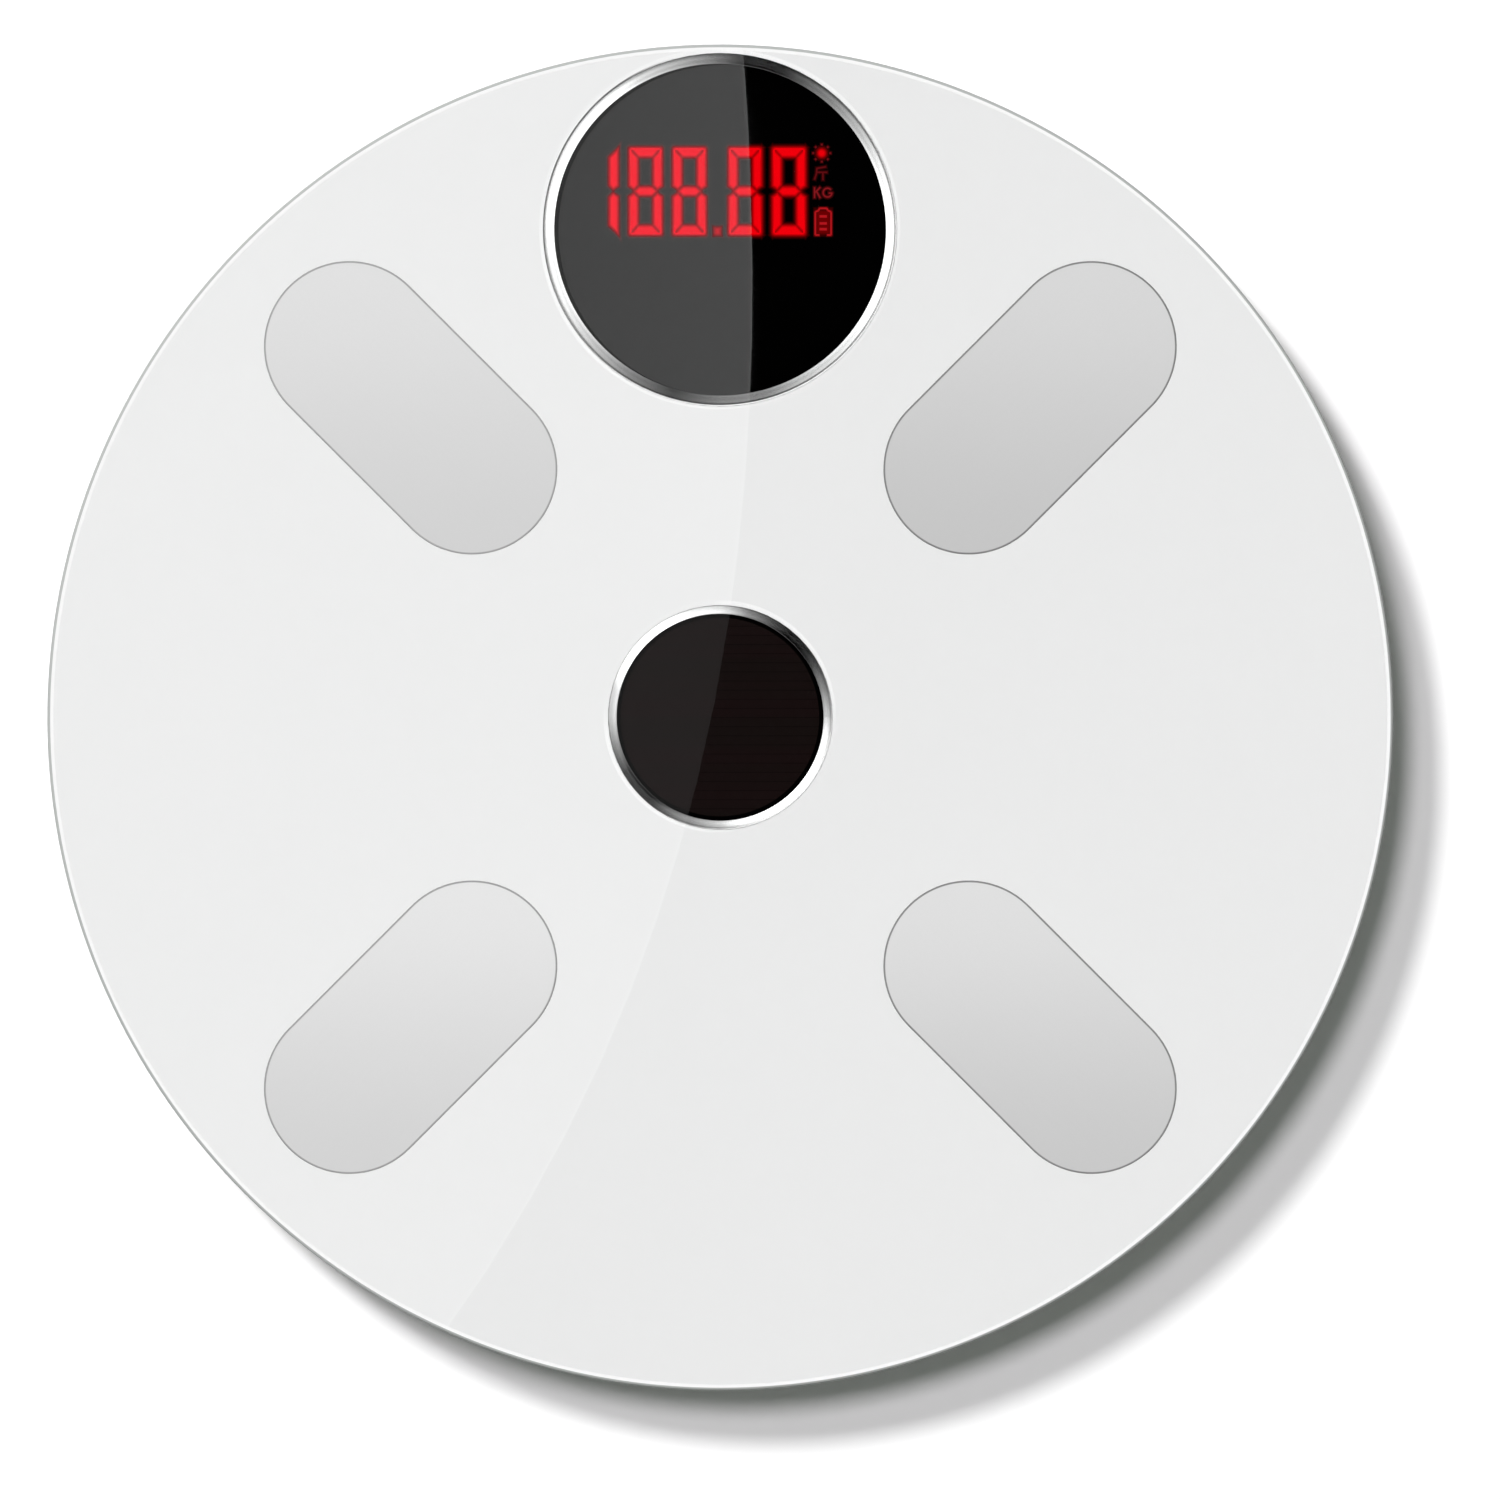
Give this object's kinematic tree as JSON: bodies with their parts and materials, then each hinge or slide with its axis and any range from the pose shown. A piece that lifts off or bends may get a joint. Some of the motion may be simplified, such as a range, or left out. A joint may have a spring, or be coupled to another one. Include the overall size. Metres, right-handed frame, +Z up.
{
  "type": "digital bathroom scale",
  "caption": "Round glass body scale with metal foot electrodes, a lit digital display and a solar cell, on a shallow plastic tray with load cell feet, a unit button and a battery cover",
  "frame": {"origin": "on the floor, under the middle of the glass disc", "axes": "+Z up, +Y towards the display, +X to the right of someone who reads the display"},
  "size_m": [0.28, 0.28, 0.0257],
  "materials": {
    "clear_glass": "clear tempered glass with a polished rounded edge",
    "white_print": "opaque white print on the underside of the glass",
    "foam": "closed-cell adhesive foam tape",
    "white_abs": "moulded white plastic, fine satin surface",
    "nylon": "natural nylon",
    "tinned_brass": "tinned brass",
    "zinc_steel": "bright zinc-plated steel",
    "grey_wire": "dark grey insulation",
    "polished_chrome": "polished chrome plating",
    "smoked_lens": "black smoked window",
    "red_light": "red light guides, lit",
    "black_abs": "moulded black plastic",
    "green_board": "glass-fibre board with green solder mask",
    "flat_cable": "flat ribbon cable",
    "solar_glass": "dark amorphous solar cell with fine grid lines",
    "black_epoxy": "black epoxy chip",
    "tinned_parts": "plated electronic parts",
    "white_silicone": "white silicone coating",
    "red_wire": "red insulation",
    "cell_steel": "nickel-plated spring steel",
    "satin_steel": "satin stainless steel with a fine grain",
    "battery_sleeve": "plain dark sleeve over a steel can",
    "rubber_pad": "dark grey anti-slip rubber",
    "grey_abs": "moulded grey plastic"
  },
  "bodies": {
    "base": {"back_print": "white_print", "base_tray": "white_abs", "battery_cells": "battery_sleeve", "battery_contacts": "zinc_steel", "battery_leads": "red_wire", "battery_springs": "zinc_steel", "board_parts": "tinned_parts", "board_screws": "zinc_steel", "bracket_front_left": "white_abs", "bracket_front_right": "white_abs", "bracket_rear_left": "white_abs", "bracket_rear_right": "white_abs", "bracket_screws": "zinc_steel", "controller_chip": "black_epoxy", "display_board": "green_board", "display_lens": "smoked_lens", "display_reflector": "black_abs", "display_ribbon": "flat_cable", "display_ring": "polished_chrome", "display_segments": "red_light", "electrode_bushes": "nylon", "electrode_front_left": "satin_steel", "electrode_front_right": "satin_steel", "electrode_nuts": "zinc_steel", "electrode_rear_left": "satin_steel", "electrode_rear_right": "satin_steel", "electrode_terminals": "tinned_brass", "electrode_wires": "grey_wire", "gauge_coatings": "white_silicone", "glass_platform": "clear_glass", "load_cell_front_left": "cell_steel", "load_cell_front_right": "cell_steel", "load_cell_rear_left": "cell_steel", "load_cell_rear_right": "cell_steel", "load_cell_wires": "red_wire", "main_board": "green_board", "mounting_tape": "foam", "solar_cell": "solar_glass", "solar_leads": "red_wire", "solar_ring": "polished_chrome", "tact_switch": "black_abs", "wire_plugs": "nylon"},
    "foot_rear_right": {"foot_cup_rear_right": "white_abs", "foot_pad_rear_right": "rubber_pad"},
    "foot_rear_left": {"foot_cup_rear_left": "white_abs", "foot_pad_rear_left": "rubber_pad"},
    "foot_front_left": {"foot_cup_front_left": "white_abs", "foot_pad_front_left": "rubber_pad"},
    "foot_front_right": {"foot_cup_front_right": "white_abs", "foot_pad_front_right": "rubber_pad"},
    "button": {"unit_button": "grey_abs", "switch_plunger": "nylon"},
    "cover": {"battery_cover": "white_abs"}
  },
  "joints": [
    {"name": "foot_slide_rear_right", "type": "slide", "parent": "base", "child": "foot_rear_right", "axis": [0, 0, 1], "range_m": [-0.0004, 0]},
    {"name": "foot_slide_rear_left", "type": "slide", "parent": "base", "child": "foot_rear_left", "axis": [0, 0, 1], "range_m": [-0.0004, 0]},
    {"name": "foot_slide_front_left", "type": "slide", "parent": "base", "child": "foot_front_left", "axis": [0, 0, 1], "range_m": [-0.0004, 0]},
    {"name": "foot_slide_front_right", "type": "slide", "parent": "base", "child": "foot_front_right", "axis": [0, 0, 1], "range_m": [-0.0004, 0]},
    {"name": "button_press", "type": "slide", "parent": "base", "child": "button", "axis": [0, 0, 1], "range_m": [0, 0.0005], "stiffness_N_per_m": 200, "springref_m": -0.001},
    {"name": "cover_hinge", "type": "hinge", "parent": "base", "child": "cover", "pos_m": [0, -0.0636, 0.0046], "axis": [-1, 0, 0], "range_deg": [0, 60]}
  ]
}
